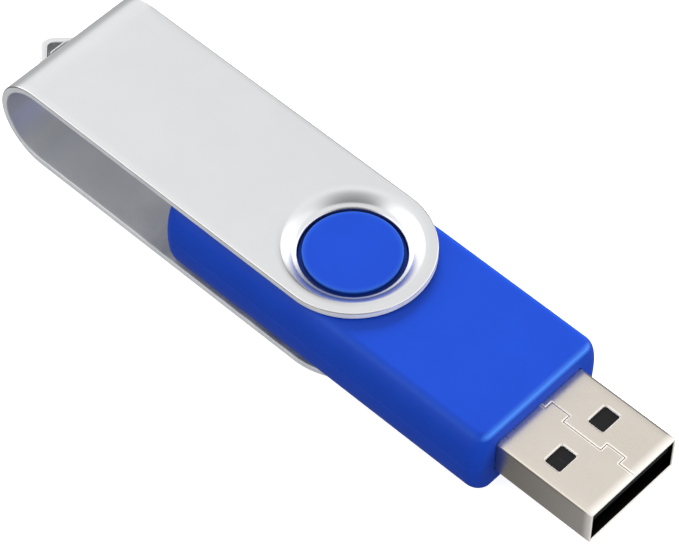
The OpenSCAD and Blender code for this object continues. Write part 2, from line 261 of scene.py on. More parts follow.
def casing_tray():
    """Closed grid of the upper tray, pole to pole.

    Columns walk round the casing in plan. Rows run from the boss's middle out over the boss, recess and
    flat face, down the side by height, in at the parting line, up the inner wall and back to the middle.
    """
    edge = slot_edge()
    steps = np.r_[0, np.cumsum(np.hypot(*np.diff(edge, axis=0).T))]
    front_share = steps / steps[-1]
    corner, turn, along = [], [], []

    def columns(number, angle, share):
        angle, share = np.broadcast_arrays(angle, share)
        corner.append(np.full(angle.shape, number))
        turn.append(angle.astype(float))
        along.append(share.astype(float))

    def even_share(x0, x1, y, count):
        """Shares along a straight side whose directions from the pivot are evenly spaced."""
        angle = np.linspace(math.atan2(x0, y), math.atan2(x1, y), count + 2)[1:-1]
        return (y * np.tan(angle) - x0) / (x1 - x0)

    quarter = np.linspace(0, math.pi / 2, 13)
    columns(0, quarter[:-1] - math.pi / 2, 0.0)
    columns(0, 0.0, front_share)
    columns(1, quarter[1:], 0.0)
    columns(1, math.pi / 2, even_share(22.1, -15.4, flat_half, 66))
    columns(2, quarter + math.pi / 2, 0.0)
    columns(2, math.pi, np.linspace(0, 1, 18)[1:-1])
    columns(3, quarter + math.pi, 0.0)
    columns(3, 1.5 * math.pi, even_share(-15.4, 22.1, flat_half, 66))
    corner, turn, along = map(np.concatenate, (corner, turn, along))
    on_front = np.zeros(len(corner), bool)
    on_front[12:12 + len(edge)] = True
    front = np.nonzero(on_front)[0]

    def outline(height, inset=0.0):
        height = np.asarray(height, float).reshape(-1, 1)
        draw = end_draw(height)
        radius = np.maximum(plan_corner - draw, 0.6)
        x, y = corner_walk(corner, turn, along, casing_front - draw - inset, casing_rear - draw - inset,
                           half_width(height) - inset, radius - inset)
        return np.stack([x, y, height + 0 * x], axis=-1)

    def lift_to_slot(rows, share, edge_here):
        """Moves the front columns so that their lowest row follows the slot, fading out upwards."""
        shift = edge_here - rows[0][front][:, 1:]
        rows[:, front, 1:] += (1 - share)[:, None, None] * shift
        return rows

    low = np.array([0.0, parting_chamfer, 0.5, 1.1, 1.7, 2.3, 2.8, 3.2, 3.4, 3.52, 3.6])
    wall = lift_to_slot(outline(low), low / low[-1], edge)
    wall[0] += outline([0.0], parting_chamfer)[0] * [1, 1, 0] - outline([0.0])[0] * [1, 1, 0]
    round_edge = outline(tray_depth - end_edge * (1 - np.sin(np.radians(np.linspace(0, 90, 15)[1:]))))
    rim = round_edge[-1]
    angle = np.arctan2(rim[:, 1], rim[:, 0])

    def rings(profile):
        """Circles about the pivot, one for each (radius, height)."""
        radius, height = np.array(profile, float).T[:, :, None]
        return np.stack([radius * np.cos(angle), radius * np.sin(angle), height + 0 * angle], axis=-1)

    def spread(start, end, count):
        share = np.linspace(0, 1, count + 2)[1:-1, None, None]
        return (1 - share) * start + share * end

    lip = np.radians(np.linspace(90, 0, 7))
    button = [(0, button_top + 0.01), (1.6, button_top + 0.01), (3.2, button_top + 0.007),
              (4.4, button_top + 0.002)]
    button += [(button_radius - button_round * (1 - math.cos(t)),
                button_top - button_round * (1 - math.sin(t))) for t in lip]
    button += [(button_radius, 3.87), (button_radius + 0.02, 3.79), (4.98, 3.76), (5.20, shoulder_top),
               (5.26, 3.73), (shoulder_radius, 3.68), (shoulder_radius, 3.35), (5.33, 3.27),
               (5.43, recess_floor), (recess_radius - 0.11, recess_floor), (recess_radius - 0.03, 3.28),
               (recess_radius, 3.36), (recess_radius, 4.32), (recess_radius + 0.03, 4.38),
               (recess_radius + 0.1, tray_depth)]
    button = rings(button)

    inner_low = np.array([0.0, 0.8, 1.6, 2.4, 3.2])
    x, y = corner_walk(corner, turn, along, casing_front - 1.3, casing_rear - 1.3, 7.0, 0.6)
    inner = np.stack([np.stack([x, y, np.full_like(x, h)], axis=-1) for h in inner_low])
    inner_edge = edge.copy()
    beside = np.abs(edge[:, 0]) > slot_half
    inner_edge[beside, 0] = np.sign(edge[beside, 0]) * (
        slot_half + (np.abs(edge[beside, 0]) - slot_half) * 0.35 / 1.05)
    inner = lift_to_slot(inner, inner_low / inner_low[-1], inner_edge)
    pad = rings([(6.75, 3.2), (6.75, 2.05), (3.0, 2.05), (0, 2.05)])
    rows = np.vstack([button, spread(button[-1], rim, 3), round_edge[::-1], wall[::-1],
                      inner, spread(inner[-1], pad[0], 2), pad])
    return rows


def casing_wear_and_light(points):
    """Rubbing and a painted highlight on the front and rear edges and the button's rim; painted shade in the
    recess.
    """
    x, y, height = points[:, 0], np.abs(points[:, 1]), np.abs(points[:, 2] - middle)
    reach = np.hypot(points[:, 0], points[:, 1])
    end = np.clip(1 - np.minimum(np.abs(casing_front - 0.25 - x), np.abs(casing_rear - 0.25 + x)) / 0.5, 0, 1)
    top = np.clip(1 - np.abs(height - tray_depth + 0.25) / 0.4, 0, 1)
    side = np.clip(1 - np.abs(y - 7.9) / 0.5, 0, 1)
    button = np.clip(1 - np.abs(reach - button_radius + 0.05) / 0.12, 0, 1) * (height > 4.1)
    # painted shade over the recess and the boss below the button's top
    painted_shade = (reach < recess_radius) * (height < 4.1)
    return top * np.maximum(end, 0.1 * side) + 0.5 * button - 0.9 * painted_shade


tray = casing_tray()
blue_paint = soft_touch_plastic()
upright, upside_down = np.array([1, 1, 1]), np.array([1, 1, -1])
for tray_name, cad_name, flip in (("casing_upper", "upper_shell", upright),
                                  ("casing_lower", "lower_shell", upside_down)):
    add_piece(tray_name, [(tray * flip + [0, 0, middle], True, None)], "drive", [cad_name],
              blue_paint, wear_and_light=casing_wear_and_light)

# ---- Swivel clip ----
# One strip of 0.8 mm steel, blanked, dished round both pivot holes, lanced at the middle for the lanyard
# loop and folded into a U. It is blasted and plated, so it has a pearly satin face and soft rims.

sheet, clip_half, clip_reach = 0.8, 8.2, 40.6
fold_outer = clip_height / 2
fold_x = fold_outer - clip_reach
rim_soft = 0.14
hole_radius, lip_radius, dish_radius, dish_depth = 5.35, 5.85, 7.0, 1.15
roll_fall, roll_power = 0.82, 1.3
lance_half, lance_height = 2.25, 1.0


def satin_steel():
    """Blasted, plated steel: a close pearly grain, faint rolling streaks, rims brightened by rubbing and a
    painted highlight, and painted shade inside the fold.
    """
    steel = Finish("satin_steel")
    where = steel.place()
    grain = steel.noise(where, 15000.0, 2.0)
    along = steel.noise(steel.place((60, 2600, 2600)), 1.0, 3.0)
    cloud = steel.noise(where, 160.0, 5.0)
    stain = steel.noise(where, 55.0, 3.0).over(0.35, 0.75)
    wear_light_values, cut_edge_and_shade = steel.marks(), steel.marks(-1)
    tone = steel.tint(cloud.over(0.3, 0.7), (0.755, 0.76, 0.77, 1), (0.79, 0.795, 0.80, 1))
    tone = steel.tint(stain * 0.25, tone, (0.72, 0.73, 0.755, 1))
    tone = steel.tint(along.over(0.55, 0.8) * 0.15, tone, (0.84, 0.84, 0.84, 1))
    tone = steel.tint(grain.over(0.3, 0.7) * 0.35, tone, (0.69, 0.695, 0.71, 1))
    # painted highlight, partly rubbing: lighter rims, dish lip and bend's back
    tone = steel.tint(wear_light_values * 0.6, tone, (0.90, 0.90, 0.90, 1))
    mottle = steel.noise(where, 260.0, 4.0, 0.6).over(0.38, 0.62)
    # matte cut edges greyer; painted shade inside the fold, mottled and darker towards the casing
    tone = steel.tint(cut_edge_and_shade * (0.1 + 0.4 * mottle), tone, (0.50, 0.53, 0.58, 1))
    painted_shade = cut_edge_and_shade.over(0.30, 0.75) * (1 - cut_edge_and_shade.over(0.85, 0.95))
    tone = steel.tint(painted_shade * (0.5 + 0.3 * mottle), tone, (0.16, 0.17, 0.20, 1))
    rough = 0.25 + 0.05 * grain + 0.04 * cloud - 0.06 * wear_light_values + (0.30 + 0.1 * mottle) * cut_edge_and_shade
    skin = steel.relief(grain * 0.8 + along * 0.35, 0.000004, 0.35)
    return steel.shade(tone, rough, skin, metal=1.0 - 0.65 * cut_edge_and_shade)


def clip_wear_and_light(points):
    """Rubbing and a painted highlight on the rims, the dish's lip and the bend's back; matte cut edges, and
    painted shade inside, deepening towards the casing.
    """
    x, y = points[:, 0], np.abs(points[:, 1])
    reach = np.hypot(x, y)
    edge = np.where(x > 0, clip_half - reach, clip_half - y)
    round_bend = fold_outer - np.hypot(x - fold_x, points[:, 2] - middle)
    face = np.where(x > fold_x, np.minimum(points[:, 2], clip_height - points[:, 2]), round_bend)
    # painted highlight, partly rubbing, on the rims, the dish's lip and the bend's back
    rim = np.clip(1 - edge / 0.2, 0, 1) * (face < 0.2)
    lip = np.clip(1 - np.abs(reach - hole_radius - 0.05) / 0.1, 0, 1) * 0.6 * (face < 1.3)
    back = np.clip((-x - 39.9) / 0.8, 0, 1) * 0.25
    cut = (edge < 0.05) & (face > rim_soft - 0.02)
    inside = (face > 0.7) & (reach > 7.6)
    # painted shade inside the fold, deepening towards the casing
    inside_shade = -0.30 - 0.45 * np.clip((x + 24) / 7, 0, 1)
    return np.where(cut, -1.0, np.where(inside, inside_shade, np.where(reach < 7.6, lip, rim + back)))


def rim_profile():
    """(inset, depth) down a cut edge: a quarter round, the flat cut and a second quarter round."""
    turn = np.radians(np.linspace(0, 90, 6))
    upper = np.stack([rim_soft * (1 - np.sin(turn)), rim_soft * (1 - np.cos(turn))], axis=1)
    return np.vstack([upper, [[0, sheet / 2]], (upper * [1, -1] + [0, sheet])[::-1]])


def plate_edge(inset):
    """Free edge of one plate in plan: near side, round front end, far side."""
    turn = np.radians(np.linspace(-90, 90, 91))
    side = -clip_half * np.tan(np.radians(np.linspace(76.8, 0, 32)[1:-1]))
    side = np.r_[fold_x, side[side > fold_x + 0.4]]
    half = clip_half - inset
    return np.vstack([np.stack([side, np.full(len(side), -half)], axis=1),
                      half * np.stack([np.cos(turn), np.sin(turn)], axis=1),
                      np.stack([side[::-1], np.full(len(side), half)], axis=1)])


bend_across = np.r_[np.linspace(-clip_half + rim_soft, -lance_half, 10),
                    np.linspace(-lance_half, lance_half, 11)[1:-1],
                    np.linspace(lance_half, clip_half - rim_soft, 10)]


def clip_plate():
    """Closed face of one plate, both sides: in over the dish, down the hole's wall and out underneath.

    Rows are rings that grow from the hole's circle to the plate's outline; z is the depth below the
    outer face. The dish falls as a power of the way in, then eases into a lip round the hole.
    """
    edge = np.vstack([plate_edge(rim_soft),
                      np.stack([np.full(len(bend_across) - 2, fold_x), bend_across[::-1][1:-1]], axis=1)])
    angle = np.arctan2(edge[:, 1], edge[:, 0])
    fall = np.linspace(0, 1, 29)
    radius = dish_radius - (dish_radius - lip_radius) * fall
    drop = roll_fall * fall ** roll_power
    outer = [(7.5, 0)] + list(zip(radius, drop))
    lip = [(5.76, 0.88), (5.64, 0.945), (5.52, 1.005), (5.42, 1.06), (hole_radius, dish_depth),
           (hole_radius, dish_depth + sheet - 0.07), (5.42, dish_depth + sheet - 0.02),
           (5.6, 0.97 + sheet)]
    under = [(r, d + sheet) for r, d in outer[::-1]]
    ring_radius, depth = np.array(outer + lip + under).T[:, :, None]
    rings = np.stack([ring_radius * np.cos(angle), ring_radius * np.sin(angle), depth + 0 * angle], axis=-1)

    def flat(depth_here, ring):
        rim = np.stack([edge[:, 0], edge[:, 1], np.full(len(edge), depth_here)], axis=-1)
        share = np.linspace(0, 1, 9)[:-1, None, None]
        return (1 - share) * rim + share * ring

    return np.vstack([flat(0.0, rings[0]), rings, flat(sheet, rings[-1])[::-1]])


def clip_rim():
    """The plate's cut edge: the rim profile carried along the free edge."""
    rows = [(plate_edge(inset), depth) for inset, depth in rim_profile()]
    return np.stack([np.column_stack([edge, np.full(len(edge), depth)]) for edge, depth in rows])


def fold_point(turn, across, depth):
    """A point of the bend: turn from the upper plate round to the lower one, depth into the sheet."""
    radius = fold_outer - depth
    turn, across, radius = np.broadcast_arrays(turn, across, radius)
    return np.stack([fold_x - radius * np.sin(turn), across, middle + radius * np.cos(turn)], axis=-1)


def clip_fold():
    """Patches of the bend: outer and inner face with the lanced slot left out, its walls and the rims."""
    lance = math.asin(lance_height / fold_outer)
    turn = np.r_[np.linspace(0, math.pi / 2 - lance, 27), np.linspace(math.pi / 2 - lance,
                 math.pi / 2 + lance, 7)[1:-1], np.linspace(math.pi / 2 + lance, math.pi, 27)]
    mid_turn, mid_across = (turn[1:] + turn[:-1]) / 2, (bend_across[1:] + bend_across[:-1]) / 2
    keep = ~((np.abs(mid_turn - math.pi / 2) < lance)[:, None] & (np.abs(mid_across) < lance_half)[None])
    faces = [(fold_point(turn[:, None], bend_across[None], depth), False, keep) for depth in (0.0, sheet)]
    slot_turn = turn[np.abs(turn - math.pi / 2) < lance + 1e-6]
    slot_across = bend_across[np.abs(bend_across) < lance_half + 1e-6]
    loop = np.vstack([
        np.stack([np.full(len(slot_across), slot_turn[0]), slot_across], axis=1)[:-1],
        np.stack([slot_turn, np.full(len(slot_turn), lance_half)], axis=1)[:-1],
        np.stack([np.full(len(slot_across), slot_turn[-1]), slot_across[::-1]], axis=1)[:-1],
        np.stack([slot_turn[::-1], np.full(len(slot_turn), -lance_half)], axis=1)[:-1]])
    walls = [(np.stack([fold_point(loop[:, 0], loop[:, 1], depth) for depth in (0.0, sheet)]), True, None)]
    rims = []
    for side in (-1, 1):
        rims.append((np.stack([fold_point(turn, side * (clip_half - inset), depth)
                               for inset, depth in rim_profile()]), False, None))
    return faces + walls + rims


def lanyard_loop():
    """The lanced strip: a rounded bar section carried out of the bend, round a blunt nose and back.

    The path leaves the sheet at the foot, runs straight to a circle about the nose's centre, and is
    mirrored. The section keeps the bend's own curve across its height.
    """
    nose_radius, nose_x, foot = 1.3, -41.65, 2.95
    base = -clip_reach + 0.05
    reach = math.hypot(nose_x - base, foot)
    lean = math.atan2(foot, nose_x - base) + math.asin(nose_radius / reach)
    run = math.sqrt(reach ** 2 - nose_radius ** 2)
    touch = np.array([base + run * math.cos(lean), -foot + run * math.sin(lean)])
    first = math.atan2(touch[1], touch[0] - nose_x)
    arc = np.linspace(first % (2 * math.pi), math.pi, 12)
    nose = np.stack([nose_x + nose_radius * np.cos(arc), nose_radius * np.sin(arc)], axis=1)
    bend = np.linspace(0, 1, 9)[:, None]
    root = np.array([base, -foot])
    before, after = root - [0, 0.45], root + 0.45 * (touch - root) / run
    knee = (1 - bend) ** 2 * before + 2 * bend * (1 - bend) * root + bend ** 2 * after
    half = np.vstack([[root - [0, 1.0]], knee, (1 - bend[1:-1]) * after + bend[1:-1] * touch, nose])
    path = np.vstack([half, half[-2::-1] * [1, -1]])
    along = np.gradient(path, axis=0)
    along /= np.linalg.norm(along, axis=1)[:, None]
    outward = np.stack([-along[:, 1], along[:, 0]], axis=1)
    thick, tall, soft = 0.68, lance_height, 0.16
    turn = np.radians(np.linspace(0, 90, 5))
    ring = []
    for depth, height, first_turn in ((soft, tall - soft, 90), (soft, soft - tall, 180),
                                      (thick - soft, soft - tall, 270), (thick - soft, tall - soft, 0)):
        spin = np.radians(first_turn) + turn
        ring.append(np.stack([depth + soft * np.cos(spin), height + soft * np.sin(spin)], axis=1))
    ring = np.vstack(ring)
    depth, height = ring[:, 0][:, None], ring[:, 1][:, None]
    curve = fold_outer - np.sqrt(fold_outer ** 2 - height ** 2)
    bar = np.stack([path[:, 0] - outward[:, 0] * depth + curve, path[:, 1] - outward[:, 1] * depth,
                    middle + height + 0 * path[:, 0]], axis=-1)
    return capped(bar)


def capped(bar):
    """A swept bar, given as section x path, closed by a pole at either end and turned to rows of rings."""
    poles = [np.repeat(bar[:, end].mean(axis=0)[None, None], len(bar), axis=0) for end in (0, -1)]
    return np.concatenate([poles[0], bar, poles[1]], axis=1).transpose(1, 0, 2)


def slot_lip():
    """The slot's upper edge, dragged out with the strip: a thin round bead arching across the eye."""
    share = np.linspace(0, math.pi, 15)
    across = -1.3 * np.cos(share)
    out = 4.95 + 0.54 * np.minimum(1, 1.9 * np.sin(share)) ** 0.8
    turn = np.linspace(0, 2 * math.pi, 11)[:-1, None]
    bead = np.stack([fold_x - out + 0.09 * np.cos(turn), across + 0 * turn,
                     middle + 1.6 + 0.09 * np.sin(turn) + 0 * across], axis=-1)
    return capped(bead)


plate, cut_rim = clip_plate(), clip_rim()
top_face = np.array([1, 1, -1])
clip_patches = [(plate * top_face + [0, 0, clip_height], True, None), (plate, True, None),
                (cut_rim * top_face + [0, 0, clip_height], False, None), (cut_rim, False, None)]
clip_patches += clip_fold() + [(lanyard_loop(), True, None), (slot_lip(), True, None)]
add_piece("clip_sheet", clip_patches, "clip", ["swivel_clip"], satin_steel(),
          wear_and_light=clip_wear_and_light)

# ---- Plug shell ----
# 0.3 mm nickel-plated strip rolled into a box round the insulator. Its ends meet in a dovetailed seam
# on the upper face, and four windows are punched for the socket's springs. The mouth's rim is rounded.

plug_width, plug_height, plug_wall, plug_corner = 12.0, 4.5, 0.3, 0.36
plug_tip, plug_tail = 35.5, 16.9
window_x, window_y = plug_tip - 6.3, 3.05
window_half_x, window_half_y, window_corner, window_roll = 0.95, 1.25, 0.26, 0.17
seam_near, seam_far, seam_tabs = 0.14, 1.06, ((24.49, 26.69), (31.29, 33.49))
seam_deep, seam_roll = 0.17, 0.13


def satin_nickel():
    """Warm nickel plate over rolled strip: drawn streaks along it, small pits, a painted highlight with
    rubbing on the mouth, windows, seam and sides, and painted shade inside the shell.
    """
    nickel = Finish("satin_nickel")
    where = nickel.place()
    drawn = nickel.noise(nickel.place((90, 3200, 3200)), 1.0, 4.0, 0.6)
    upright_streak = nickel.noise(nickel.place((1400, 1400, 60)), 1.0, 3.0)
    cloud = nickel.noise(where, 260.0, 5.0)
    pits = nickel.noise(where, 5200.0, 2.0).over(0.68, 0.78)
    grain = nickel.noise(where, 14000.0, 2.0)
    wear_light_values = nickel.marks()
    tone = nickel.tint(cloud.over(0.3, 0.7), (0.690, 0.632, 0.560, 1), (0.730, 0.672, 0.600, 1))
    tone = nickel.tint(drawn.over(0.5, 0.8) * 0.22, tone, (0.74, 0.70, 0.65, 1))
    tone = nickel.tint(pits * 0.35, tone, (0.40, 0.37, 0.33, 1))
    # painted highlight, partly rubbing: the mouth's rim, the windows' rims, beside the seam, and the sides
    # brightening towards the mouth
    tone = nickel.tint(wear_light_values * 0.8, tone, (0.94, 0.92, 0.89, 1))
    # painted shade: the shell's inside nearly black; the seam's groove darkened too
    tone = nickel.tint(nickel.marks(-1), tone, (0.03, 0.028, 0.025, 1))
    rough = 0.20 + 0.06 * drawn + 0.06 * cloud + 0.05 * upright_streak + 0.15 * wear_light_values
    skin = nickel.relief(drawn * 0.5 + grain * 0.5 + upright_streak * 0.3, 0.000004, 0.35)
    return nickel.shade(tone, rough, skin, metal=1.0 - 0.65 * wear_light_values)


def window_distance(x, y):
    """Distance outside the nearest window's rounded rectangle; below 0 inside it."""
    over_x = np.abs(x - window_x) - window_half_x + window_corner
    over_y = np.abs(np.abs(y) - window_y) - window_half_y + window_corner
    outside = np.hypot(np.maximum(over_x, 0), np.maximum(over_y, 0))
    return outside + np.minimum(np.maximum(over_x, over_y), 0) - window_corner


def seam_distance(x, y):
    """Distance from the castellated seam line on the upper face."""
    stops = [plug_tail - 5, *[x_at for tab in seam_tabs for x_at in tab], plug_tip + 5]
    nearest = np.full(np.broadcast(x, y).shape, 1e3)
    for k in range(len(stops) - 1):
        level = seam_near if k % 2 == 0 else seam_far
        beyond = np.maximum(np.maximum(stops[k] - x, x - stops[k + 1]), 0)
        nearest = np.minimum(nearest, np.hypot(beyond, y - level))
    for x_at in stops[1:-1]:
        beyond = np.maximum(np.maximum(seam_near - y, y - seam_far), 0)
        nearest = np.minimum(nearest, np.hypot(x - x_at, beyond))
    return nearest


def rolled(distance, radius):
    """Drop of a quarter-round edge: its radius at the edge, nothing a radius away from it."""
    inside = np.clip(radius - distance, 0, radius)
    return radius - np.sqrt(radius ** 2 - inside ** 2)


def plug_shell():
    """Patches of the shell: one torus-like grid for its two faces, and the walls of the four windows.

    Columns walk round the section, rows run out along the outer face, over the mouth's rounded rim
    and back inside. A point is (x, way round, inset below the outer face).
    """
    near_edge = np.array([0, 0.03, 0.07, 0.12, window_roll, 0.3])
    in_corner = np.array([-window_corner, -0.19, -0.13, -0.065])
    lines_y = [s * (window_y + t * (window_half_y + near_edge)) for s in (-1, 1) for t in (-1, 1)]
    lines_y += [s * (window_y + t * (window_half_y + in_corner)) for s in (-1, 1) for t in (-1, 1)]
    around_seam = np.array([-0.2, -seam_roll, -0.07, -0.035, 0, 0.035, 0.07, seam_roll, 0.2])
    flat_y = plug_width / 2 - plug_corner
    top_y = np.unique(np.round(np.concatenate(lines_y + [around_seam + seam_near, around_seam + seam_far,
                                              [-flat_y, -5.0, -2.4, -3.7, -0.9, 2.4, 3.7, 5.0, flat_y]]), 4))
    low_y = np.unique(np.round(np.concatenate(lines_y + [np.linspace(-flat_y, flat_y, 9)]), 4))[::-1]
    turn = np.radians(np.linspace(0, 90, 9))[1:-1]
    flat_z = plug_height / 2 - plug_corner
    side_z = np.linspace(flat_z, -flat_z, 6)
    top = [(y, plug_height / 2, 0, 1) for y in top_y]
    right = [(flat_y + plug_corner * math.sin(t), flat_z + plug_corner * math.cos(t), math.sin(t),
              math.cos(t)) for t in turn] + [(plug_width / 2, z, 1, 0) for z in side_z]
    right += [(y, -z, a, -b) for y, z, a, b in right[:len(turn)][::-1]]
    under = [(y, -plug_height / 2, 0, -1) for y in low_y]
    left = [(-y, -z, -a, -b) for y, z, a, b in right]
    ring = np.array(top + right + under + left)
    on_top = np.r_[np.ones(len(top), bool), np.zeros(len(ring) - len(top), bool)]
    on_flat = np.abs(ring[:, 3]) == 1

    rows_x = [window_x + t * (window_half_x + near_edge) for t in (-1, 1)]
    rows_x += [window_x + t * (window_half_x + in_corner) for t in (-1, 1)]
    rows_x += [x_at + around_seam for tab in seam_tabs for x_at in tab]
    rows_x = np.unique(np.round(np.concatenate(rows_x + [np.linspace(plug_tail, plug_tip - 0.1, 22)]), 4))

    def to_corner(x, y):
        """Slides the points on a window's corner onto its arc."""
        off_x, off_y = x - window_x, np.abs(y) - window_y
        far_x = window_half_x - np.abs(off_x)
        far_y = window_half_y - np.abs(off_y)
        near = (np.minimum(np.abs(far_x), np.abs(far_y)) < 1e-3) & (far_x > -1e-3) & (far_y > -1e-3)
        near &= (far_x < window_corner + 1e-3) & (far_y < window_corner + 1e-3)
        swing = np.pi / 4 * (1 + (far_x - far_y) / window_corner)
        arc_x = window_half_x - window_corner * (1 - np.cos(swing))
        arc_y = window_half_y - window_corner * (1 - np.sin(swing))
        new_x = window_x + np.sign(off_x) * arc_x
        new_y = np.sign(y) * (window_y + np.sign(off_y) * arc_y)
        return np.where(near, new_x, x), np.where(near, new_y, y)

    def face(x_rows, inset_rows, moulded):
        x, y = np.broadcast_arrays(x_rows[:, None], ring[None, :, 0])
        new_x, new_y = to_corner(x, y)
        x, y = np.where(on_flat, new_x, x), np.where(on_flat, new_y, y)
        inset = np.broadcast_to(inset_rows[:, None], x.shape).copy()
        if moulded:
            inset += np.where(on_flat, rolled(window_distance(x, y), window_roll), 0)
            gap = seam_distance(x, y)
            groove = np.maximum(rolled(gap, seam_roll), np.where(gap < 0.01, seam_deep, 0))
            inset += np.where(on_top, groove, 0)
        return np.stack([x, y - ring[:, 2] * inset, middle + ring[:, 1] - ring[:, 3] * inset], axis=-1)

    lip = np.radians(np.linspace(0, 90, 5))
    soft = 0.1
    lip_x = np.r_[plug_tip - soft * (1 - np.sin(lip[1:])), plug_tip - soft * (1 - np.cos(lip))]
    lip_inset = np.r_[soft * (1 - np.cos(lip[1:])), plug_wall - soft * (1 - np.sin(lip))]
    outer = face(rows_x, np.zeros(len(rows_x)), True)
    inner = face(rows_x[::-1], np.full(len(rows_x), plug_wall), False)
    grid = np.vstack([outer, face(lip_x, lip_inset, False), inner, outer[:1]])

    mid_x = (rows_x[1:] + rows_x[:-1]) / 2
    closed_y = np.r_[ring[:, 0], ring[0, 0]]
    mid_y = (closed_y[1:] + closed_y[:-1]) / 2
    both_flat = on_flat & np.r_[on_flat[1:], on_flat[0]]
    hole = ((np.abs(mid_x - window_x) < window_half_x)[:, None]
            & ((np.abs(np.abs(mid_y) - window_y) < window_half_y) & both_flat)[None])
    keep = np.ones((len(grid) - 1, len(ring)), bool)
    keep[:len(mid_x)] = ~hole
    keep[-1 - len(mid_x):-1] = ~hole[::-1]
    patches = [(grid, True, keep)]
    cut_x = rows_x[np.abs(rows_x - window_x) < window_half_x + 1e-3]
    for side in (-1, 1):
        lines = low_y[::-1]
        cut_y = lines[np.abs(lines - side * window_y) < window_half_y + 1e-3]
        loop = np.vstack([
            np.stack([np.full(len(cut_y), cut_x[0]), cut_y], axis=1)[:-1],
            np.stack([cut_x, np.full(len(cut_x), cut_y[-1])], axis=1)[:-1],
            np.stack([np.full(len(cut_y), cut_x[-1]), cut_y[::-1]], axis=1)[:-1],
            np.stack([cut_x[::-1], np.full(len(cut_x), cut_y[0])], axis=1)[:-1]])
        x, y = to_corner(loop[:, 0], loop[:, 1])
        for up in (-1, 1):
            wall = np.stack([np.stack([x, y, middle + up * (plug_height / 2 - inset) + 0 * x], axis=-1)
                             for inset in (window_roll, (window_roll + plug_wall) / 2, plug_wall)])
            patches.append((wall, True, None))
    return patches


def plug_wear_and_light(points):
    """Rubbing and a painted highlight on the mouth, the sides near it, the windows and the seam; painted
    shade inside the shell, and the seam's groove darkened.
    """
    x, y, z = points.T
    flat = np.abs(np.abs(z - middle) - plug_height / 2) < 0.3
    mouth = np.clip(1 - (plug_tip - x) / 0.3, 0, 1)
    # painted highlight: the sides brighten towards the mouth
    side = (np.abs(y) > plug_width / 2 - 0.02) * np.clip((x - 26) / 9.5, 0, 1) * 0.3
    window = np.clip(1 - np.abs(window_distance(x, y)) / 0.16, 0, 1) * flat
    seam = np.clip(1 - np.abs(seam_distance(x, y) - 0.11) / 0.08, 0, 1) * (z > middle + 2)
    deep = np.maximum(np.abs(y) - plug_width / 2, np.abs(z - middle) - plug_height / 2) < 0.02 - plug_wall
    inside = deep & (x < plug_tip - 0.09)
    # painted shade over the shell's inside faces; the seam's groove darkened
    shaded_inside_and_seam = inside | ((seam_distance(x, y) < 0.01) & (z > middle + 2) & (x > 24))
    return np.where(shaded_inside_and_seam, -1.0, mouth + side + np.maximum(window, seam))


add_piece("plug_box", plug_shell(), "drive", ["plug_shell"], satin_nickel(), crisp=40,
          wear_and_light=plug_wear_and_light)

# ---- Insulator and contacts ----
# A block of black PBT fills the upper half of the plug, and four gold-plated bronze strips lie in
# grooves in its lower face. They keep their frame solids and get a moulded and a plated finish.


def dress(node, finish):
    """Gives a frame node its finish in every material slot."""
    piece = frame["nodes"][node]
    for place in piece.material_slots:
        place.material = finish


def black_plastic(name="insulator_black", colour=(0.003, 0.003, 0.0035, 1), rough=0.5):
    """Glass-filled black plastic: fine spark grain and grey glints of fibre."""
    plastic = Finish(name)
    where = plastic.place()
    grain = plastic.noise(where, 9000.0, 3.0)
    fibre = plastic.noise(plastic.place((500, 4000, 4000)), 1.0, 3.0).over(0.62, 0.75)
    cloud = plastic.noise(where, 420.0, 3.0)
    tone = plastic.tint(cloud, colour, tuple(c * 1.9 for c in colour[:3]) + (1,))
    tone = plastic.tint(fibre * 0.3, tone, (0.05, 0.05, 0.052, 1))
    return plastic.shade(tone, rough + 0.12 * grain, plastic.relief(grain, 0.000008, 0.5),
                         Specular_IOR_Level=0.25)


def gold_plate():
    """Thin gold over nickel: soft wiping streaks and slightly coppery clouds."""
    gold = Finish("gold_plate")
    streak = gold.noise(gold.place((120, 5200, 5200)), 1.0, 3.0)
    cloud = gold.noise(gold.place(), 900.0, 3.0)
    tone = gold.tint(cloud, (0.86, 0.60, 0.22, 1), (0.93, 0.70, 0.34, 1))
    tone = gold.tint(streak.over(0.55, 0.8) * 0.3, tone, (0.75, 0.66, 0.48, 1))
    return gold.shade(tone, 0.22 + 0.14 * streak, gold.relief(streak, 0.000003, 0.5), metal=1.0)


dress("plug_insulator", black_plastic())
gold = gold_plate()
for contact in ("power_contact", "data_minus_contact", "data_plus_contact", "ground_contact",
                "contact_pads", "crystal_leads"):
    dress(contact, gold)

# ---- Circuit board ----
# 0.8 mm glass laminate with green solder mask over copper tracks. It rests on two moulded posts, and
# everything on it is soldered by reflow. The closed casing hides it.


def solder_mask():
    """Green lacquer over tracks: the copper shows paler and raised, and the glass weave shows through."""
    board = Finish("solder_mask")
    where = board.place()
    warp = board.add("ShaderNodeTexWave", {"bands_direction": "X"}, {
        "Vector": where, "Scale": 420.0, "Distortion": 1.0})
    weft = board.add("ShaderNodeTexWave", {"bands_direction": "Y"}, {
        "Vector": where, "Scale": 420.0, "Distortion": 1.0})
    blocks = board.add("ShaderNodeTexBrick", {"offset": 0.35}, {
        "Vector": where, "Scale": 320.0, "Mortar Size": 0.05}, out="Fac")
    tone = board.tint(blocks, (0.010, 0.135, 0.045, 1), (0.004, 0.060, 0.022, 1))
    tone = board.tint(warp * weft * 0.35, tone, (0.03, 0.20, 0.08, 1))
    skin = board.relief(blocks * -1.0 + warp * weft * 0.2, 0.00002, 0.6)
    return board.shade(tone, 0.28 + 0.12 * warp, skin, IOR=1.55)


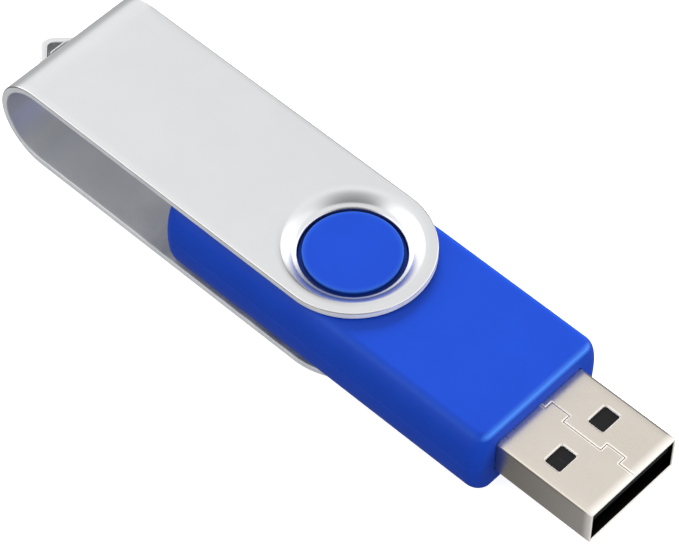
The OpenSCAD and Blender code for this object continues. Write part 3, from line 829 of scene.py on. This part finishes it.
def tinned(name, low, high, rough):
    """Reflowed tin: frosty grains between smooth, brighter fillets."""
    tin = Finish(name)
    grains = tin.add("ShaderNodeTexVoronoi", {"feature": "F1"}, {"Vector": tin.place(), "Scale": 9000.0})
    cloud = tin.noise(tin.place(), 1500.0, 3.0)
    return tin.shade(tin.tint(cloud, low, high), rough + 0.15 * grains,
                     tin.relief(grains + cloud, 0.000006, 0.4), metal=1.0)


dress("circuit_board", solder_mask())
dress("solder_joints", tinned("solder", (0.58, 0.59, 0.62, 1), (0.74, 0.75, 0.77, 1), 0.24))
lead_tin = tinned("tinned_leads", (0.62, 0.63, 0.65, 1), (0.78, 0.78, 0.79, 1), 0.28)
for leads in ("memory_leads", "controller_leads", "regulator_leads", "crystal_can"):
    dress(leads, lead_tin)

# ---- Chips and small parts ----
# Moulded epoxy packages, fired ceramic capacitors and resistors, a fuse and a clear light, each a
# standard surface-mount part soldered flat on the board.

epoxy = black_plastic("epoxy_package", (0.014, 0.014, 0.015, 1), 0.5)
for package in ("memory_chip", "controller_chip", "regulator", "surge_protector", "resistors"):
    dress(package, epoxy)


def fired_ceramic():
    """Tan capacitor ceramic: layered lines and small dark inclusions."""
    clay = Finish("fired_ceramic")
    layer = clay.add("ShaderNodeTexWave", {"bands_direction": "Z"}, {
        "Vector": clay.place(), "Scale": 2600.0, "Distortion": 2.0})
    fleck = clay.noise(clay.place(), 6000.0, 2.0).over(0.6, 0.72)
    tone = clay.tint(layer * 0.5, (0.40, 0.25, 0.13, 1), (0.52, 0.35, 0.20, 1))
    tone = clay.tint(fleck * 0.5, tone, (0.16, 0.09, 0.05, 1))
    return clay.shade(tone, 0.45 + 0.15 * fleck, clay.relief(layer + fleck, 0.000006, 0.5))


def fuse_epoxy():
    """Dark green resin of the input fuse, cast with fine bubbles."""
    resin = Finish("fuse_resin")
    bubble = resin.add("ShaderNodeTexVoronoi", {"feature": "F1"}, {"Vector": resin.place(), "Scale": 5200.0})
    tone = resin.tint(bubble, (0.012, 0.060, 0.020, 1), (0.030, 0.115, 0.045, 1))
    return resin.shade(tone, 0.34 + 0.2 * bubble, resin.relief(bubble, 0.00001, 0.4))


def light_lens():
    """Milky moulded lens of the status light, a little yellowed in patches."""
    lens = Finish("light_lens")
    cloud = lens.noise(lens.place(), 1400.0, 3.0)
    tone = lens.tint(cloud, (0.74, 0.73, 0.66, 1), (0.84, 0.83, 0.76, 1))
    return lens.shade(tone, 0.2 + 0.1 * cloud, lens.relief(cloud, 0.000008, 0.3), IOR=1.52)


dress("capacitors", fired_ceramic())
dress("input_fuse", fuse_epoxy())
dress("status_led", light_lens())

# ---- Table, light and camera ----
# A white table that the clip's lower plate lies on. A softbox hangs overhead, a pale sweep stands behind
# and a white card at either side, with dark gaps between them. Three soft lamps add the cast shadows.

table_half, table_top = 2.0, -0.00002
corners = [(x * table_half, y * table_half, table_top) for x, y in ((-1, -1), (1, -1), (1, 1), (-1, 1))]
table = bpy.data.meshes.new("table")
table.from_pydata(corners, [], [(0, 1, 2, 3)])
table_piece = bpy.data.objects.new("table", table)
bpy.context.collection.objects.link(table_piece)
white_table = Finish("white_table")
cloud = white_table.noise(white_table.place(), 30.0)
table.materials.append(white_table.shade(
    white_table.tint(cloud, (0.55, 0.55, 0.55, 1), (0.57, 0.57, 0.57, 1)), 0.9,
    Emission_Color=(1, 1, 1, 1), Emission_Strength=0.80))
table_piece.visible_glossy = False
table_piece.visible_diffuse = False

azimuth, elevation, roll = map(math.radians, (42.835, 52.696, 0.7))
towards = np.array([math.sin(azimuth) * math.cos(elevation), -math.cos(azimuth) * math.cos(elevation),
                    math.sin(elevation)])
level = np.array([math.cos(azimuth), math.sin(azimuth), 0.0])
upward = np.cross(towards, level)
right_hand = math.cos(roll) * level + math.sin(roll) * upward
overhead = -math.sin(roll) * level + math.cos(roll) * upward
target = np.array([-1.625, -0.08, 4.96]) * millimetre + [pivot_x, 0, 0]
stand_off = 330.97 * millimetre
lens_data = bpy.data.cameras.new("camera")
lens_data.lens = 181.3726
lens_data.clip_start, lens_data.clip_end = 0.01, 10.0
camera = bpy.data.objects.new("camera", lens_data)
bpy.context.collection.objects.link(camera)
camera.location = target + towards * stand_off
camera.rotation_euler = Matrix(np.column_stack([right_hand, overhead, towards]).tolist()).to_euler()
bpy.context.scene.camera = camera
bpy.context.scene.view_settings.view_transform = "Standard"

studio = bpy.data.worlds.new("studio")
studio.use_nodes = True
bpy.context.scene.world = studio
sky = Finish("studio", studio.node_tree)
facing = sky.add("ShaderNodeTexCoord", out="Generated")


def faces(direction):
    """How far the sky's direction leans towards a given one, as a cosine."""
    return sky.add("ShaderNodeVectorMath", {"operation": "DOT_PRODUCT"}, {
        0: facing, 1: tuple(float(v) for v in direction)}, out="Value")


camera_side = np.array([towards[0], towards[1], 0]) / math.hypot(towards[0], towards[1])
high, right, left = faces((0, 0, 1)), faces(level), faces(-level)
behind, before = faces(-camera_side), faces(camera_side)
over_bench = high.over(-0.06, 0.05)
softbox = high.over(0.35, 0.70)
sweep = behind.over(0.05, 0.55) * over_bench
bench = behind.over(0.1, 0.5) * (1 - over_bench)
left_card = left.over(0.45, 0.75) * high.over(0.02, 0.16) * (1 - high.over(0.6, 0.75))
table_edge = left.over(0.5, 0.8) * (1 - high.over(-0.04, 0.04)) * high.over(-0.70, -0.50)
right_card = right.over(0.42, 0.66) * high.over(-0.20, 0.05) * (1 - high.over(0.50, 0.62))
gap_turn = math.radians(20)
off_gap = faces(math.cos(gap_turn) * level + math.sin(gap_turn) * camera_side)
off_gap = off_gap.math("ABSOLUTE", off_gap)
gap = (1 - off_gap.over(0.14, 0.30)) * behind.over(0.0, 0.2) * (1 - high.over(0.62, 0.78))
dark_side = before.over(0.3, 0.7) * high.over(0.10, 0.35) * (1 - high.over(0.90, 0.98))
low_front = before.over(0.4, 0.8) * (1 - high.over(0.15, 0.40)) * high.over(-0.30, -0.05)
glow = 0.20 + 0.84 * (1 - (1 - softbox) * (1 - sweep)) + 0.28 * bench
glow = glow * (1 - 0.8 * gap) * (1 - 0.75 * dark_side) * (1 - 0.7 * table_edge)
glow = glow + left_card + 0.9 * right_card + 0.45 * low_front
back = sky.add("ShaderNodeBackground", sockets={"Color": (1, 1, 1, 1), "Strength": glow})
sky.end("ShaderNodeOutputWorld", back)


def soft_lamp(name, size, watts, place, turned):
    """A square-cornered area lamp in metres, turned by degrees about X, Y and Z, unseen in the metal."""
    lamp = bpy.data.lights.new(name, "AREA")
    lamp.shape, lamp.energy = "RECTANGLE", watts
    lamp.size, lamp.size_y = size
    lamp_piece = bpy.data.objects.new(name, lamp)
    bpy.context.collection.objects.link(lamp_piece)
    lamp_piece.visible_glossy = False
    lamp_piece.location = place
    lamp_piece.rotation_euler = [math.radians(angle) for angle in turned]


soft_lamp("key", (0.35, 0.2), 5.3, (-0.36, 0.39, 0.28), (-62, 0, 42.8))
soft_lamp("fill", (0.5, 0.3), 1.25, (-0.1, -0.5, 0.12), (77, 0, -11))
soft_lamp("side", (0.4, 0.3), 2.0, (0.5, 0.05, 0.16), (0, 73, 6))
